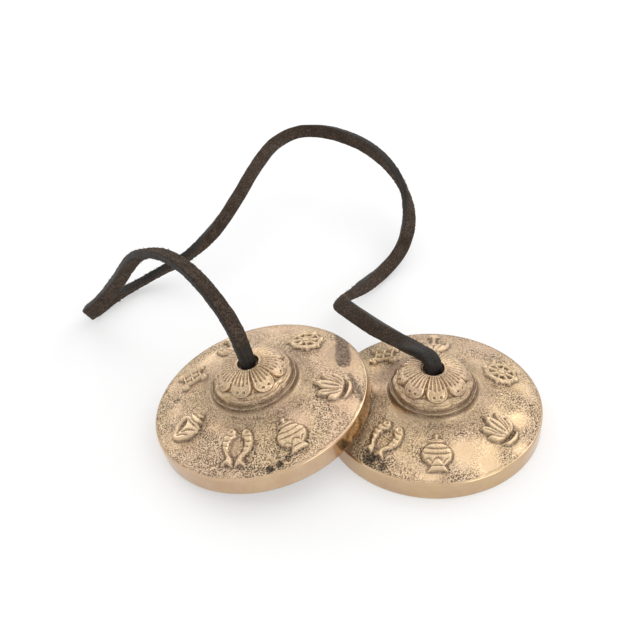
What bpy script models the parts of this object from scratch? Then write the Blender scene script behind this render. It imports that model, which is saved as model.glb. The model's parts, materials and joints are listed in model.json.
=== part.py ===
"""A pair of tingsha: two cast bronze cymbals, tied to the two ends of one leather thong.

Run with: blender --background --python part.py
Metres, +Z up, +X to the right, +Y to the back. The origin is on the table, under the middle of
the two cymbals. The right cymbal lies flat, and the left one leans with its near edge on it.
"""
from math import asin, atan, cos, pi, radians, sin, sqrt

import bmesh
import bpy
from mathutils import Matrix, Vector

for old_object in list(bpy.data.objects):
    bpy.data.objects.remove(old_object)

MM = 0.001

# Cymbal: rim and brim
RIM_RADIUS = 32.5 * MM
RIM_HEIGHT = 6.0 * MM
RIM_ROUNDING = 0.35 * MM
RIM_FLAT_WIDTH = 3.3 * MM      # the flat ring that the cymbal stands on
BRIM_RISE = 4.5 * MM           # from the top of the rim to the foot of the boss
BRIM_WALL = 3.4 * MM

# Cymbal: boss
FOOT_RADIUS = 15.6 * MM        # where the brim starts to curve up into the boss
FOOT_FILLET = 2.2 * MM
FOOT_FILLET_RISE = 1.1 * MM
NECK_HEIGHT = 1.9 * MM
NECK_TAPER = 0.5 * MM
LEDGE_WIDTH = 1.1 * MM         # from the neck's raised line in to the scalloped bead
LEDGE_RISE = 0.35 * MM
BEAD_HEIGHT = 1.15 * MM
BEAD_WIDTH = 0.9 * MM
PETAL_STEP = 0.4 * MM          # how far the petals stand up from the groove behind the bead
DOME_RISE = 4.6 * MM
DOME_ARC = radians(84)         # from the mouth over to the petals' tips
CROWN_WALL = 3.0 * MM          # under the mouth
NECK_WALL = 2.3 * MM
CUP_FLOOR_FILLET = 1.3 * MM
MOUTH_LIP = 0.45 * MM

# Lotus on the boss
PETALS = 8
STEPS_PER_PETAL = 10           # five ridges and five valleys on each petal
SCALLOP_DEPTH = 0.75 * MM
FLUTE_HEIGHT = 0.18 * MM
PETAL_PARTING = 0.3 * MM       # depth of the groove between two petals

# Good-luck emblems on the brim
EMBLEM_TURNS = (20, 82, 123.5, 178, 226.5, 266, 318)   # degrees round the boss
EMBLEM_RELIEF = 1.3 * MM
EMBLEM_SINK = 1.0 * MM         # how deep each one is rooted in the brim
FOOT_MARGIN = 1.8 * MM         # from the boss's foot to the emblems
RIM_MARGIN = 3.55 * MM         # from the emblems to the rim

# Leather thong
THONG_RADIUS = 2.1 * MM        # a round cord with the section area of the flat thong
BORE_CLEARANCE = 1.0 * MM      # between the thong and the hole
SEAT_GAP = 0.3 * MM            # between pieces that touch
PIVOT_ABOVE_MOUTH = 3.0 * MM   # where the thong flexes above the hole

# Stopper knot in each cup
KNOT_STRAND_RADIUS = 1.45 * MM  # the leather is pulled tight and thin in the knot
KNOT_CLEARANCE = 1.0 * MM       # between the knot and the cup round it
KNOT_REACH = 3.31               # how far its widest strand goes out, in sizes of its loops
KNOT_RISE = 3.1 * MM            # how far its strands weave above and below its middle
KNOT_ENTRY_RISE = 6.1 * MM      # from the knot's middle to the strand that comes in over it

# How the pair lies
CENTRE_SPACING = 50.1 * MM
CENTRE_STAGGER = 1.45 * MM     # the left cymbal lies this much further back
LEFT_TURN = radians(29)        # the two castings are turned differently about their bosses

BORE_RADIUS = THONG_RADIUS + BORE_CLEARANCE
SEGMENTS = PETALS * STEPS_PER_PETAL
REST_RADIUS = RIM_RADIUS - RIM_ROUNDING
FOOT_HEIGHT = RIM_HEIGHT + BRIM_RISE
NECK_RADIUS = FOOT_RADIUS - FOOT_FILLET - NECK_TAPER
NECK_TOP = FOOT_HEIGHT + FOOT_FILLET_RISE + NECK_HEIGHT
BEAD_RADIUS = NECK_RADIUS - LEDGE_WIDTH
BEAD_BASE = NECK_TOP + LEDGE_RISE
PETAL_RADIUS = BEAD_RADIUS - BEAD_WIDTH
PETAL_FOOT = BEAD_BASE + BEAD_HEIGHT
DOME_BASE = PETAL_FOOT + PETAL_STEP
MOUTH_HEIGHT = DOME_BASE + DOME_RISE
CUP_RADIUS = NECK_RADIUS - NECK_WALL
CUP_CEILING = MOUTH_HEIGHT - CROWN_WALL
PIVOT_HEIGHT = MOUTH_HEIGHT + PIVOT_ABOVE_MOUTH
KNOT_SPREAD = (CUP_RADIUS - KNOT_CLEARANCE - KNOT_STRAND_RADIUS) / KNOT_REACH
EMBLEM_LENGTH = REST_RADIUS - RIM_MARGIN - FOOT_RADIUS - FOOT_MARGIN
EMBLEM_RADIUS = FOOT_RADIUS + FOOT_MARGIN + EMBLEM_LENGTH / 2
BRIM_SLOPE = atan(BRIM_RISE / (REST_RADIUS - FOOT_RADIUS))


def material(name, colour, roughness, metallic):
    """A Principled material; colour is linear RGB."""
    made = bpy.data.materials.new(name)
    made.use_nodes = True
    shader = made.node_tree.nodes["Principled BSDF"]
    shader.inputs["Base Color"].default_value = (*colour, 1.0)
    shader.inputs["Roughness"].default_value = roughness
    shader.inputs["Metallic"].default_value = metallic
    return made


BRONZE = material("cast_bronze", (0.60, 0.44, 0.28), 0.30, 1.0)
LEATHER = material("leather_thong", (0.042, 0.032, 0.025), 0.80, 0.0)


def add_object(name, data, finish):
    """Links a new object and gives it its material."""
    made = bpy.data.objects.new(name, data)
    data.materials.clear()
    data.materials.append(finish)
    bpy.context.collection.objects.link(made)
    return made


def place_under(child, parent, location):
    """Hangs an object on an empty, at a place in the empty's own axes."""
    child.parent = parent
    child.location = location


# The cymbal is one turned profile, and on its boss the profile is scalloped and fluted.

def brim_height(radius):
    """Height of the cone between the rim and the boss, above the cymbal's flat ring."""
    return RIM_HEIGHT + BRIM_RISE * (REST_RADIUS - radius) / (REST_RADIUS - FOOT_RADIUS)


def petal_offset(step):
    """0 on a petal's middle line and 1 on the line where two petals meet."""
    half = STEPS_PER_PETAL // 2
    return abs((step + half) % STEPS_PER_PETAL - half) / half


def plain_ring(radius, height):
    """A ring of points with no pattern, each a radius and a height."""
    return [(radius, height)] * SEGMENTS


def scalloped_ring(radius, height):
    """A ring that bulges out round the end of each petal."""
    points = []
    for step in range(SEGMENTS):
        points.append((radius - SCALLOP_DEPTH * petal_offset(step) ** 4, height))
    return points


def petal_ring(share):
    """A ring across the petals; share runs from 0 at their tips to 1 at the mouth."""
    arc = DOME_ARC * (1 - share)
    mouth_radius = BORE_RADIUS + MOUTH_LIP
    dome_reach = PETAL_RADIUS - mouth_radius
    fluting = FLUTE_HEIGHT * sin(pi * share) if share > 0.2 else 0
    points = []
    for step in range(SEGMENTS):
        across = petal_offset(step)
        scallop = SCALLOP_DEPTH * across ** 4 * (1 - share) ** 2
        parting = PETAL_PARTING * across ** 6 * sin(pi * (0.25 + 0.7 * share))
        radius = mouth_radius + dome_reach * sin(arc) - scallop
        height = DOME_BASE + DOME_RISE * cos(arc) - parting
        points.append((radius, height + (fluting if step % 2 == 0 else -fluting)))
    return points


def rim_rings():
    """The rim's outer wall, from the flat ring that it stands on to its rounded upper edge."""
    return [
        plain_ring(REST_RADIUS, 0),
        plain_ring(RIM_RADIUS, RIM_ROUNDING),
        plain_ring(RIM_RADIUS, RIM_HEIGHT - RIM_ROUNDING),
        plain_ring(REST_RADIUS, RIM_HEIGHT),
    ]


def neck_rings():
    """The fillet at the foot of the boss, its neck, and the scalloped bead round the lotus."""
    rings = []
    for turn in (0, 30, 60, 90):
        inwards = FOOT_FILLET * sin(radians(turn))
        upwards = FOOT_FILLET_RISE * (1 - cos(radians(turn)))
        rings.append(plain_ring(FOOT_RADIUS - inwards, FOOT_HEIGHT + upwards))
    return rings + [
        plain_ring(NECK_RADIUS, NECK_TOP - RIM_ROUNDING),
        plain_ring(NECK_RADIUS - NECK_TAPER, NECK_TOP),
        scalloped_ring(BEAD_RADIUS, BEAD_BASE),
        scalloped_ring(BEAD_RADIUS - BEAD_WIDTH * 0.2, BEAD_BASE + BEAD_HEIGHT * 0.8),
        scalloped_ring(BEAD_RADIUS - BEAD_WIDTH * 0.8, BEAD_BASE + BEAD_HEIGHT),
        scalloped_ring(PETAL_RADIUS, PETAL_FOOT),
    ]


def inside_rings():
    """The hole, the cup under the boss, and the hollow underside out to the flat ring."""
    rings = [
        plain_ring(BORE_RADIUS, MOUTH_HEIGHT - MOUTH_LIP),
        plain_ring(BORE_RADIUS, CUP_CEILING),
    ]
    for turn in (28, 52, 76):
        outwards = (CUP_RADIUS - BORE_RADIUS) * sin(radians(turn))
        downwards = (CUP_CEILING - FOOT_HEIGHT) * (1 - cos(radians(turn)))
        rings.append(plain_ring(BORE_RADIUS + outwards, CUP_CEILING - downwards))
    cup_floor = FOOT_HEIGHT - BRIM_WALL
    ring_radius = RIM_RADIUS - RIM_FLAT_WIDTH
    corner = CUP_FLOOR_FILLET * 0.5
    return rings + [
        plain_ring(CUP_RADIUS, cup_floor + CUP_FLOOR_FILLET),
        plain_ring(CUP_RADIUS + CUP_FLOOR_FILLET, cup_floor),
        plain_ring(ring_radius - corner, brim_height(ring_radius) - BRIM_WALL),
        plain_ring(ring_radius, 0),
    ]


def cymbal_mesh():
    """Joins the rings into one closed skin."""
    rings = rim_rings() + neck_rings()
    for share in (0, 0.16, 0.32, 0.48, 0.64, 0.82, 1):
        rings.append(petal_ring(share))
    rings += inside_rings()
    shape = bmesh.new()
    loops = []
    for ring in rings:
        loop = []
        for step, (radius, height) in enumerate(ring):
            angle = 2 * pi * step / SEGMENTS - pi / 2
            loop.append(shape.verts.new((radius * cos(angle), radius * sin(angle), height)))
        loops.append(loop)
    for lower, upper in zip(loops, loops[1:] + loops[:1]):
        for step in range(SEGMENTS):
            after = (step + 1) % SEGMENTS
            shape.faces.new((lower[step], lower[after], upper[after], upper[step]))
    bmesh.ops.recalc_face_normals(shape, faces=shape.faces)
    mesh = bpy.data.meshes.new("cymbal")
    shape.to_mesh(mesh)
    shape.free()
    mesh.shade_smooth()
    mesh.set_sharp_from_angle(angle=radians(35))
    return mesh


# The emblems are flat plates, drawn 11.2 units tall with their tops towards the boss. Each plate
# is an outline and its windows. The cast brim carries them as one piece with it.

DRAWN_LENGTH = 11.2


def mirrored(right_half):
    """A whole outline from its right half, drawn from the top down."""
    return right_half + [(-x, y) for x, y in reversed(right_half) if x > 0]


def wheel():
    rim = []
    for step in range(16):
        reach = 5.5 if step % 2 == 0 else 4.7
        angle = 2 * pi * step / 16
        rim.append((reach * cos(angle), reach * sin(angle)))
    plate = [rim]
    for window in range(8):
        middle = 2 * pi * (window + 0.5) / 8
        corners = []
        for reach, side in ((1.9, -1), (3.5, -1), (3.5, 1), (1.9, 1)):
            angle = middle + side * (pi / 8 - 0.42 / reach)
            corners.append((reach * cos(angle), reach * sin(angle)))
        plate.append(corners)
    return [plate]


def parasol():
    half = [
        (0, 5.6), (0.7, 5.0), (0.5, 4.4), (2.3, 3.8), (3.9, 2.4), (4.8, 0.4), (4.8, -2.2), (3.8, -2.2),
        (3.8, 0.3), (2.6, 0.8), (1.6, 0.2), (0.6, 0.6), (0.6, -4.2), (1.9, -5.6),
    ]
    return [[mirrored(half)]]


def endless_knot():
    edge = []
    windows = []
    for quarter in range(4):
        ways = (cos(pi / 2 * quarter), sin(pi / 2 * quarter))
        for out, aside in ((3.4, -0.8), (4.4, -1.3), (5.5, 0), (4.4, 1.3), (3.4, 0.8)):
            edge.append((out * ways[0] - aside * ways[1], out * ways[1] + aside * ways[0]))
        window = []
        for corner in range(4):
            angle = pi / 2 * (quarter + corner)
            window.append((1.77 * ways[0] + 1.02 * cos(angle), 1.77 * ways[1] + 1.02 * sin(angle)))
        windows.append(window)
    return [[edge] + windows]


def conch():
    shell = [
        (0.2, 5.6), (1.2, 5.0), (1.0, 4.4), (2.4, 3.8), (2.3, 3.0), (3.7, 2.2), (4.1, 0.2), (3.5, -2.2),
        (1.8, -4.4), (-0.2, -5.6), (-0.8, -4.6), (-2.6, -3.2), (-4.1, -1.0), (-4.1, 1.2), (-2.6, 2.4),
        (-2.7, 3.2), (-1.2, 3.8), (-1.3, 4.6), (-0.3, 5.0),
    ]
    opening = [(-2.6, 0.9), (-1.3, 0.4), (-0.6, -1.4), (-0.4, -3.6), (-2.0, -2.2), (-2.9, -0.6)]
    return [[shell, opening]]


def pair_of_fish():
    fish = [
        (0.8, 4.2), (1.3, 5.3), (2.4, 5.5), (3.6, 4.3), (4.4, 2.2), (4.2, -0.2), (2.9, -2.4), (2.2, -3.3),
        (3.9, -5.5), (1.9, -4.9), (0.4, -5.6), (0.9, -3.3), (1.9, -1.6), (2.2, 0.4), (1.8, 2.2), (0.8, 3.2),
    ]
    return [[fish], [[(-x, y) for x, y in fish]]]


def treasure_vase():
    half = [
        (0, 5.6), (0.9, 4.9), (0.5, 4.1), (2.4, 3.8), (2.3, 3.1), (1.3, 2.7), (3.3, 1.6), (4.3, -0.4),
        (3.7, -2.5), (2.0, -3.9), (2.9, -5.6),
    ]
    return [[mirrored(half)]]


def lotus():
    flower = [
        (0, 5.6), (1.4, 3.8), (1.8, 2.3), (2.7, 3.5), (4.0, 4.0), (4.1, 2.1), (3.5, 0.4), (5.0, 0.7),
        (4.5, -1.4), (2.8, -2.8), (0, -3.2),
    ]
    leaf = [(0, -4.2), (1.9, -4.0), (3.6, -3.4), (2.4, -4.9), (0, -5.6)]
    return [[mirrored(flower)], [mirrored(leaf)]]


EMBLEMS = (wheel, parasol, endless_knot, conch, pair_of_fish, treasure_vase, lotus)


def add_plate(shape, plate, placing):
    """Fills an outline with its windows, and gives it the thickness of the relief and its root."""
    edges = []
    for loop in plate:
        spots = []
        for x, y in loop:
            spots.append(shape.verts.new((x, y, -EMBLEM_SINK)))
        for first, second in zip(spots, spots[1:] + spots[:1]):
            edges.append(shape.edges.new((first, second)))
    filled = bmesh.ops.triangle_fill(shape, edges=edges, use_beauty=True)
    faces = [part for part in filled["geom"] if isinstance(part, bmesh.types.BMFace)]
    grown = bmesh.ops.extrude_face_region(shape, geom=faces, use_keep_orig=True)
    tops = [part for part in grown["geom"] if isinstance(part, bmesh.types.BMVert)]
    thickness = EMBLEM_SINK + EMBLEM_RELIEF * cos(BRIM_SLOPE)
    bmesh.ops.translate(shape, verts=tops, vec=(0, 0, thickness))
    roots = {spot for face in faces for spot in face.verts}
    bmesh.ops.transform(shape, matrix=placing, verts=tops + list(roots))


def emblems_mesh():
    """The seven plates in their places round the boss, each along the slope of the brim."""
    shape = bmesh.new()
    size = EMBLEM_LENGTH / DRAWN_LENGTH
    for emblem, turn in zip(EMBLEMS, EMBLEM_TURNS):
        spot = Matrix.Translation((0, -EMBLEM_RADIUS, brim_height(EMBLEM_RADIUS)))
        placing = Matrix.Rotation(radians(turn) + pi / 2, 4, "Z") @ spot @ Matrix.Rotation(BRIM_SLOPE, 4, "X")
        for plate in emblem():
            sized = [[(x * size, y * size) for x, y in loop] for loop in plate]
            add_plate(shape, sized, placing)
    bmesh.ops.recalc_face_normals(shape, faces=shape.faces)
    mesh = bpy.data.meshes.new("emblems")
    shape.to_mesh(mesh)
    shape.free()
    return mesh


def add_emblems(cymbal, mesh):
    """Joins the emblems to one cymbal."""
    cutter = add_object("emblems_for_" + cymbal.name, mesh, BRONZE)
    cutter.parent = cymbal
    cutter.hide_render = True
    cutter.display_type = "WIRE"
    joined = cymbal.modifiers.new("emblems", "BOOLEAN")
    joined.operation = "UNION"
    joined.object = cutter


# The pair lies as it was put down: the left rim rests on the right cymbal's brim.

def lean_angle():
    """The tilt that brings the left rim down onto the right brim's emblem."""
    lean = 0.0
    for _ in range(12):
        touch_radius = CENTRE_SPACING - REST_RADIUS * cos(lean)
        rest_height = brim_height(touch_radius) + EMBLEM_RELIEF + SEAT_GAP
        lean = asin(rest_height / (2 * REST_RADIUS))
    return lean


LEAN = lean_angle()
LEFT_REACH = RIM_RADIUS * cos(LEAN) + (RIM_HEIGHT - RIM_ROUNDING) * sin(LEAN)
PAIR_WIDTH = LEFT_REACH + CENTRE_SPACING + RIM_RADIUS
LEFT_CENTRE = Vector((LEFT_REACH - PAIR_WIDTH / 2, CENTRE_STAGGER / 2, REST_RADIUS * sin(LEAN)))
RIGHT_CENTRE = Vector((PAIR_WIDTH / 2 - RIM_RADIUS, -CENTRE_STAGGER / 2, 0))


def pivot_empty(name, centre, lean):
    """An empty where the thong flexes above a boss, its Z axis along the boss."""
    empty = bpy.data.objects.new(name, None)
    bpy.context.collection.objects.link(empty)
    empty.rotation_euler = (0, -lean, 0)
    turned = Matrix.Rotation(-lean, 3, "Y")
    empty.location = centre + turned @ Vector((0, 0, PIVOT_HEIGHT))
    return empty


# The thong is one cord: a knot inside each cymbal, and the free length between them.

def cord_object(name, points, radii):
    """A round cord along a line of points, with closed ends."""
    curve = bpy.data.curves.new(name, "CURVE")
    curve.dimensions = "3D"
    curve.bevel_depth = THONG_RADIUS
    curve.bevel_resolution = 2
    curve.use_fill_caps = True
    line = curve.splines.new("POLY")
    line.points.add(len(points) - 1)
    for spot, place, radius in zip(line.points, points, radii):
        spot.co = (*place, 1)
        spot.radius = radius / THONG_RADIUS
    return add_object(name, curve, LEATHER)


def smooth_line(points, steps):
    """Points on a smooth curve through the given ones, with some steps between each two."""
    line = []
    ends = [points[0] * 2 - points[1]] + points + [points[-1] * 2 - points[-2]]
    for before, start, finish, after in zip(ends, ends[1:], ends[2:], ends[3:]):
        first = sqrt((start - before).length)
        second = sqrt((finish - start).length)
        third = sqrt((after - finish).length)
        leave = (start - before) / first - (finish - before) / (first + second) + (finish - start) / second
        arrive = (finish - start) / second - (after - start) / (second + third) + (after - finish) / third
        for step in range(steps):
            t = step / steps
            line.append(
                start * (2 * t ** 3 - 3 * t ** 2 + 1)
                + leave * second * (t ** 3 - 2 * t ** 2 + t)
                + finish * (3 * t ** 2 - 2 * t ** 3)
                + arrive * second * (t ** 3 - t ** 2)
            )
    return line + [points[-1]]


def rounded_top():
    """The thong's end above the pivot: a half ball round it, so that it can turn there."""
    points = []
    radii = []
    for turn in (80, 60, 38, 16):
        points.append(Vector((0, 0, PIVOT_HEIGHT + THONG_RADIUS * sin(radians(turn)))))
        radii.append(THONG_RADIUS * cos(radians(turn)))
    return points, radii


def knot_loops(middle):
    """The overhand knot's three lobes, which weave over and under each other."""
    loops = []
    for turn in range(80, 391, 20):
        angle = radians(turn)
        across = sin(angle) + 2 * sin(2 * angle)
        back = cos(angle) - 2 * cos(2 * angle)
        rise = -KNOT_RISE * sin(3 * angle)
        loops.append(Vector((KNOT_SPREAD * across, KNOT_SPREAD * back, middle + rise)))
    return loops


def knot_line():
    """The knotted end from the pivot down: the shank in the hole, the overhand knot, its tail."""
    top_strand = CUP_CEILING - SEAT_GAP - KNOT_STRAND_RADIUS
    middle = top_strand - KNOT_ENTRY_RISE
    shank = [Vector((0, 0, PIVOT_HEIGHT)), Vector((0, 0, CUP_CEILING))]
    entry = []
    for across, back, height in (
        (0.30, -0.05, top_strand + 0.45 * KNOT_STRAND_RADIUS),
        (1.10, -0.20, top_strand),
        (2.20, 0.10, top_strand - 0.5 * KNOT_STRAND_RADIUS),
        (2.95, 1.00, middle + 1.4 * KNOT_RISE),
        (2.70, 1.85, middle + 1.0 * KNOT_RISE),
    ):
        entry.append(Vector((across * KNOT_SPREAD, back * KNOT_SPREAD, height)))
    tail = [Vector((3.0 * KNOT_SPREAD, 0.8 * KNOT_SPREAD, middle - KNOT_RISE))]
    line = smooth_line(shank + entry + knot_loops(middle) + tail, 2)
    radii = [KNOT_STRAND_RADIUS] * len(line)
    for spot in range(2 * len(shank) - 1):
        radii[spot] = THONG_RADIUS
    top_points, top_radii = rounded_top()
    return top_points + line, top_radii + radii


def self_gap(points, radii):
    """The least space between two stretches of one cord that lie further apart along it."""
    least = 1.0
    for first in range(len(points)):
        along = 0.0
        for second in range(first + 1, len(points)):
            along += (points[second] - points[second - 1]).length
            reach = radii[first] + radii[second]
            if along > 2.5 * reach:
                least = min(least, (points[second] - points[first]).length - reach)
    return least


# The thong's free length, in millimetres, from the left boss up over its arch, back along the
# table, round the far loop and over the right cymbal to its boss.
ROUTE = (
    (-30.9, 1.7, 36.5), (-33.0, 3.6, 41.0), (-35.7, 5.8, 44.8), (-39.3, 9.9, 47.6), (-43.7, 15.6, 49.0),
    (-49.1, 22.1, 48.6), (-55.5, 29.6, 45.6), (-61.5, 35.6, 40.0), (-66.3, 40.5, 33.0), (-70.9, 45.5, 24.5),
    (-76.6, 49.9, 15.5), (-81.5, 52.0, 9.3), (-84.6, 53.4, 6.0), (-85.0, 55.8, 4.0), (-82.6, 59.2, 3.1),
    (-75.7, 66.6, 2.8), (-68.9, 71.6, 3.2), (-61.4, 74.0, 5.9), (-53.8, 74.6, 9.5), (-46.6, 77.0, 13.6),
    (-39.3, 83.6, 17.6), (-32.2, 97.5, 21.4), (-25.9, 114.3, 23.6), (-19.0, 129.0, 24.5), (-10.2, 137.2, 24.6),
    (-0.3, 137.0, 24.4), (9.2, 130.8, 23.6), (18.0, 120.8, 22.0), (24.6, 110.0, 18.8), (28.3, 99.6, 14.3),
    (28.6, 90.0, 9.0), (25.0, 80.8, 4.8), (17.8, 71.2, 2.8), (10.2, 62.2, 4.2), (4.4, 53.6, 6.8),
    (1.0, 47.8, 8.6), (0.8, 44.6, 9.6), (2.4, 40.4, 10.9), (10.3, 24.5, 15.5), (16.8, 12.6, 20.0),
    (21.9, 3.2, 23.7),
)


def thong_line(left_pivot, right_pivot):
    """The free length between the two pivots, each end a seat gap clear of its rounded top."""
    points = [Vector(spot) * MM for spot in ROUTE]
    stand_off = THONG_RADIUS + SEAT_GAP
    start = left_pivot + (points[0] - left_pivot).normalized() * stand_off
    finish = right_pivot + (points[-1] - right_pivot).normalized() * stand_off
    return smooth_line([start] + points + [finish], 2)


left_pivot = pivot_empty("left_pivot", LEFT_CENTRE, LEAN)
right_pivot = pivot_empty("right_pivot", RIGHT_CENTRE, 0)
cast_mesh = cymbal_mesh()
relief_mesh = emblems_mesh()
knot_points, knot_radii = knot_line()
for side, pivot, turn in (("left", left_pivot, LEFT_TURN), ("right", right_pivot, 0)):
    cymbal = add_object("cymbal_" + side, cast_mesh, BRONZE)
    place_under(cymbal, pivot, (0, 0, -PIVOT_HEIGHT))
    cymbal.rotation_euler = (0, 0, turn)
    add_emblems(cymbal, relief_mesh)
    knot = cord_object("knot_" + side, knot_points, knot_radii)
    place_under(knot, pivot, (0, 0, -PIVOT_HEIGHT))

free_line = thong_line(left_pivot.location, right_pivot.location)
free_radii = [THONG_RADIUS] * len(free_line)
strap = cord_object("strap", free_line, free_radii)

free_length = sum((after - before).length for before, after in zip(free_line, free_line[1:]))
print(f"free length {free_length / MM:.0f} mm")
print(f"least gap in a knot {self_gap(knot_points, knot_radii) / MM:.2f} mm")
print(f"least gap in the thong {self_gap(free_line, free_radii) / MM:.2f} mm")
print(f"lean {LEAN * 180 / pi:.2f} degrees")
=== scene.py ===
import json
from math import cos, hypot, pi, radians, sin, sqrt, tau

import bpy
import numpy as np
from mathutils import Matrix, Vector, noise


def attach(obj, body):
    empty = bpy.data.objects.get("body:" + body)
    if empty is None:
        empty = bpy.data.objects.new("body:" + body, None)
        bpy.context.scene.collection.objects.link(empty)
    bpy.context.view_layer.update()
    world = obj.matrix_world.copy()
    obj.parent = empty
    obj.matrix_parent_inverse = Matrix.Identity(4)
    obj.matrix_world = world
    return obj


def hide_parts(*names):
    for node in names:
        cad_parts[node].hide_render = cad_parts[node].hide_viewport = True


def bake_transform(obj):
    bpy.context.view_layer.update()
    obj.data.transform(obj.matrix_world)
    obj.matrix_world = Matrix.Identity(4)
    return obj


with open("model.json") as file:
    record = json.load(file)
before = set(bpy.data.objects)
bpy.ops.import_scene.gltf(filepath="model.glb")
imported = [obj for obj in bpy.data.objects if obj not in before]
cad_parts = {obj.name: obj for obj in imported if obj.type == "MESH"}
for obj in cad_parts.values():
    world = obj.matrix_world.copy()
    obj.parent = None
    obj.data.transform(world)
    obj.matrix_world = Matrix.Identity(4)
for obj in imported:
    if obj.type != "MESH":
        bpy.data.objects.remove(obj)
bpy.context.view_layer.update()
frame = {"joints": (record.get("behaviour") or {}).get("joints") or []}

# A tingsha: two cast bell bronze cymbals tied to the ends of one leather thong, on a white table.
# The camera stands about arm's length in front of the pair and looks down at it, tipped a little,
# so that the table's level line rises to the left.

MM = 0.001
LOOK_AT = Vector((-6.77, 49.10, 0.0)) * MM
CAMERA_DISTANCE = 341.7 * MM
CAMERA_ELEVATION = radians(38.94)
CAMERA_ROLL = radians(-3.44)
LENS = 56.25                  # in millimetres, before a sensor 36 mm wide

camera_data = bpy.data.cameras.new("camera")
camera_data.lens = LENS
camera_data.sensor_width = 36
camera_data.clip_start = 10 * MM
camera_data.clip_end = 20
camera = bpy.data.objects.new("camera", camera_data)
bpy.context.collection.objects.link(camera)
forward = Vector((0, cos(CAMERA_ELEVATION), -sin(CAMERA_ELEVATION)))
level = Vector((1, 0, 0))
upward = level.cross(forward)
to_right = level * cos(CAMERA_ROLL) + upward * sin(CAMERA_ROLL)
to_top = upward * cos(CAMERA_ROLL) - level * sin(CAMERA_ROLL)
turned = Matrix((to_right, to_top, -forward)).transposed()
camera.matrix_world = Matrix.Translation(LOOK_AT - forward * CAMERA_DISTANCE) @ turned.to_4x4()
bpy.context.scene.camera = camera
bpy.context.scene.view_settings.view_transform = "Standard"

# The thong is one leather lace, 5 mm wide and 3 mm thick, cut from a dyed split hide: brown fuzzy suede
# on its faces, and smooth, hard and near black on its cut edges. Each end goes down the hole of a boss
# and is held by a knot in the cup. It is stiff enough to stand in an arch, and creases where folded.

THONG_WIDTH = 5.2 * MM
THONG_THICKNESS = 3.1 * MM
SQUARENESS = 0.42             # of its cut across: 1 would be an ellipse, and 0 a sharp oblong
CUT_EDGE = (0.90, 0.98)       # shares of the half width between which a face turns to cut edge
RING_POINTS = 44              # the lace is drawn as rings of this many points
RING_SPACING = 0.36 * MM
LINE_STEPS = 12               # points on the middle line from one route point to the next
DENT_DEPTH = 0.12 * MM
DENTS = 260                   # per metre, so 3.8 mm apart
NAP_DEPTH = 0.20 * MM         # how far the rough faces stray
NAP_CLUMPS = (1050, 1900)     # per metre, so 0.95 and 0.53 mm apart
KNOT_FLATTENS = 0.5           # the share of the nap that is gone in the knots
HOLE_FLATTENS = 0.65          # and where the lace bears on a hole's edge
TUFTS = 4200                  # loose fibres standing off the suede
TUFT_LENGTH = (0.25, 0.80)    # in millimetres, the shortest and the longest
TUFT_THICKNESS = (0.05, 0.10)
TUFT_ROOT = 0.05              # how deep a tuft starts
BARE_RINGS = 22               # at the right end, where the hole's edge pressed the tufts flat
SHANK_SQUEEZE = 0.03          # how much narrower the lace is pressed by the hole

# The free length in millimetres: out of the left boss, over the arch, along the table, round
# the far loop, and over the right cymbal to its boss. Its points count as keys from 0 to 40.
ROUTE = (
    (-30.9, 1.7, 36.5), (-33.1, 3.5, 41.0), (-35.8, 5.7, 44.8), (-39.4, 9.8, 47.5), (-43.8, 15.5, 48.9),
    (-49.2, 22.0, 48.5), (-55.5, 29.4, 45.4), (-61.6, 35.7, 40.1), (-66.3, 40.5, 33.0),
    (-71.0, 45.5, 24.5), (-76.7, 50.0, 15.6), (-81.7, 52.1, 9.4), (-84.8, 53.7, 6.0), (-85.2, 56.2, 4.0),
    (-82.9, 59.9, 3.1), (-76.2, 67.6, 2.8), (-69.5, 73.1, 3.2), (-62.0, 75.5, 5.9), (-54.3, 75.2, 10.2),
    (-47.4, 77.6, 14.4), (-40.4, 84.2, 18.4), (-33.3, 98.0, 22.0), (-26.8, 114.7, 24.2),
    (-19.5, 129.4, 25.0), (-10.3, 137.3, 24.7), (-0.4, 136.9, 24.2), (9.3, 130.9, 23.7),
    (18.4, 121.1, 22.3), (25.0, 110.1, 19.0), (28.3, 99.6, 14.3), (27.8, 90.1, 9.1), (24.4, 81.6, 4.8),
    (17.5, 71.9, 2.8), (10.3, 62.1, 4.2), (4.4, 53.6, 6.8), (1.0, 47.8, 8.6), (0.8, 44.6, 9.6),
    (2.4, 40.4, 10.9), (10.3, 24.5, 15.5), (16.6, 12.4, 19.8), (21.8, 3.4, 22.9),
)

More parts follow.
